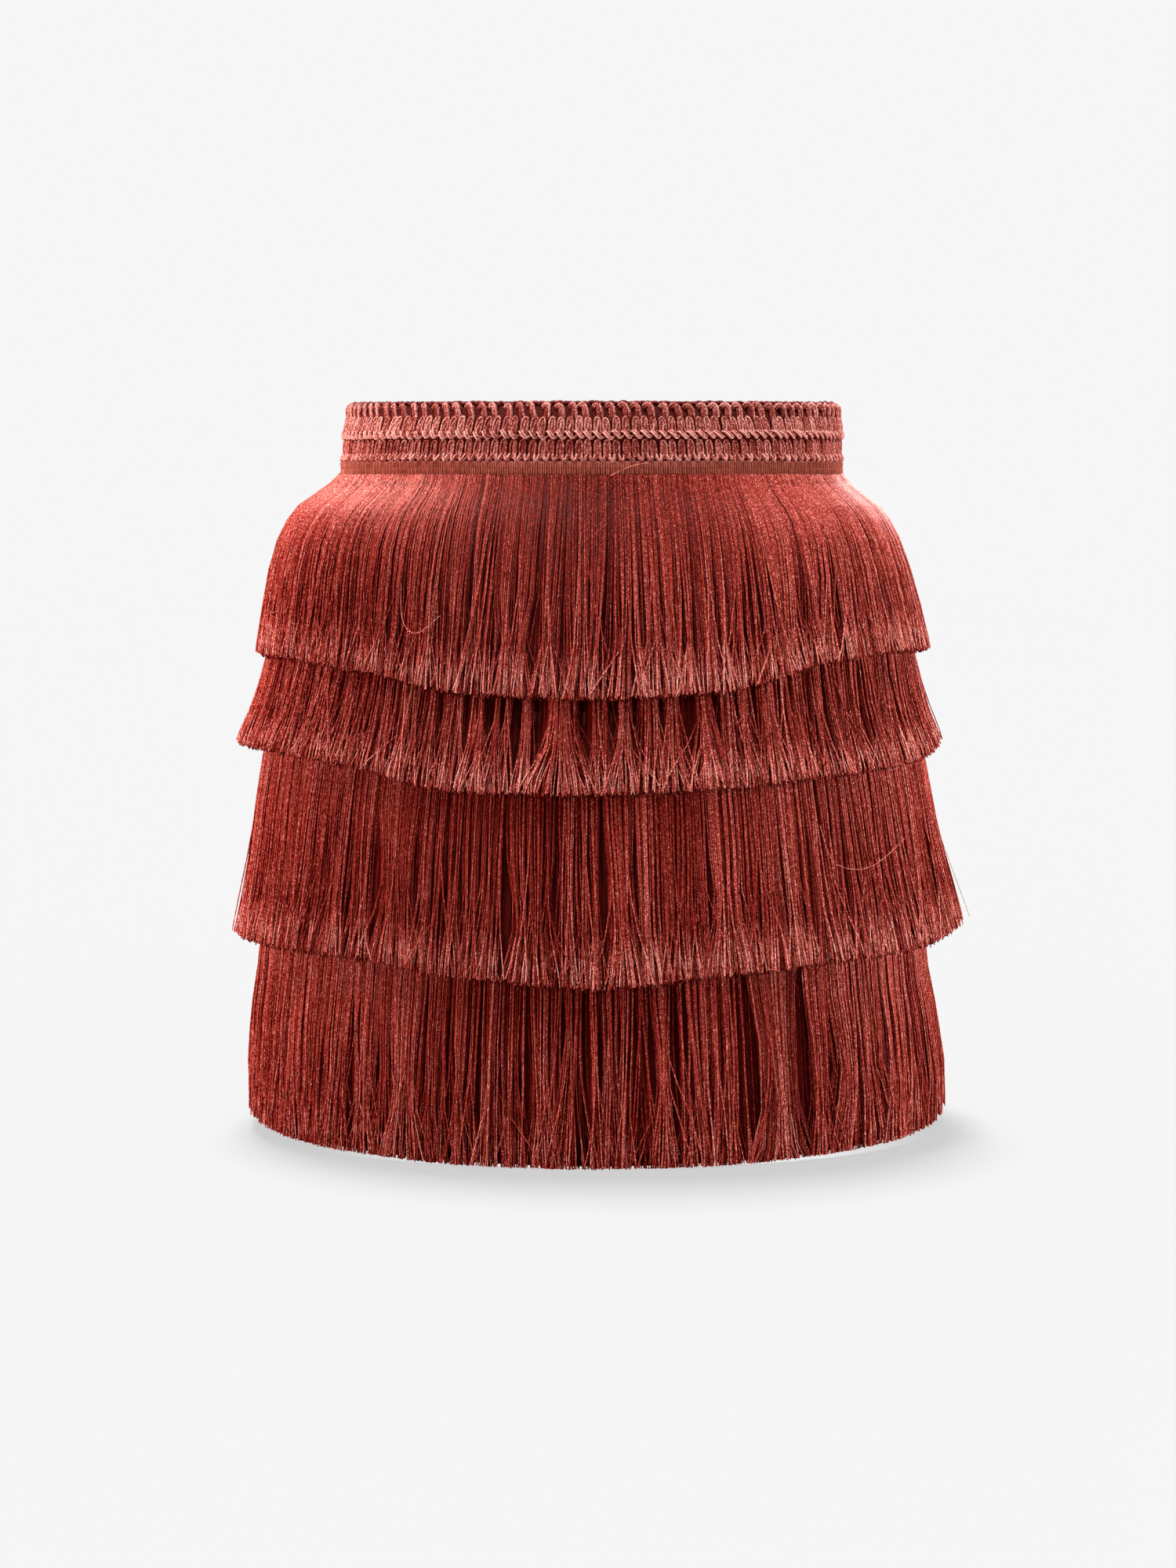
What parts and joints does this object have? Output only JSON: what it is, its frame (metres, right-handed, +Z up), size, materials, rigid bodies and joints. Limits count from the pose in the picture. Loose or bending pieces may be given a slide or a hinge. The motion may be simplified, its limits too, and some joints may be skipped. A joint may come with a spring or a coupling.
{
  "type": "fringe mini skirt",
  "caption": "Pull-on mini skirt with a crochet waistband over tiers of long fringe on a jersey underskirt, hollow and held in its worn shape.",
  "frame": {"origin": "centre of the waist, level with the lower edge of the waistband, where the wearer holds the skirt up", "axes": "+Z up along the body, front of the skirt towards -Y, the wearer's left side towards +X"},
  "size_m": [0.3912, 0.2779, 0.3928],
  "materials": {
    "crochet_yarn": "matt twisted yarn, worked in open rows",
    "ribbed_tape": "matt fine ribbed tape",
    "silky_fringe": "silky twisted threads",
    "jersey": "matt knitted jersey"
  },
  "bodies": {
    "root": {"waistband": "crochet_yarn", "base_front": "jersey", "base_back": "jersey", "tape_1": "ribbed_tape", "tape_2": "ribbed_tape", "tape_3": "ribbed_tape", "tape_4": "ribbed_tape", "fringe_1": "silky_fringe", "fringe_2": "silky_fringe", "fringe_3": "silky_fringe", "fringe_4": "silky_fringe"}
  },
  "joints": []
}
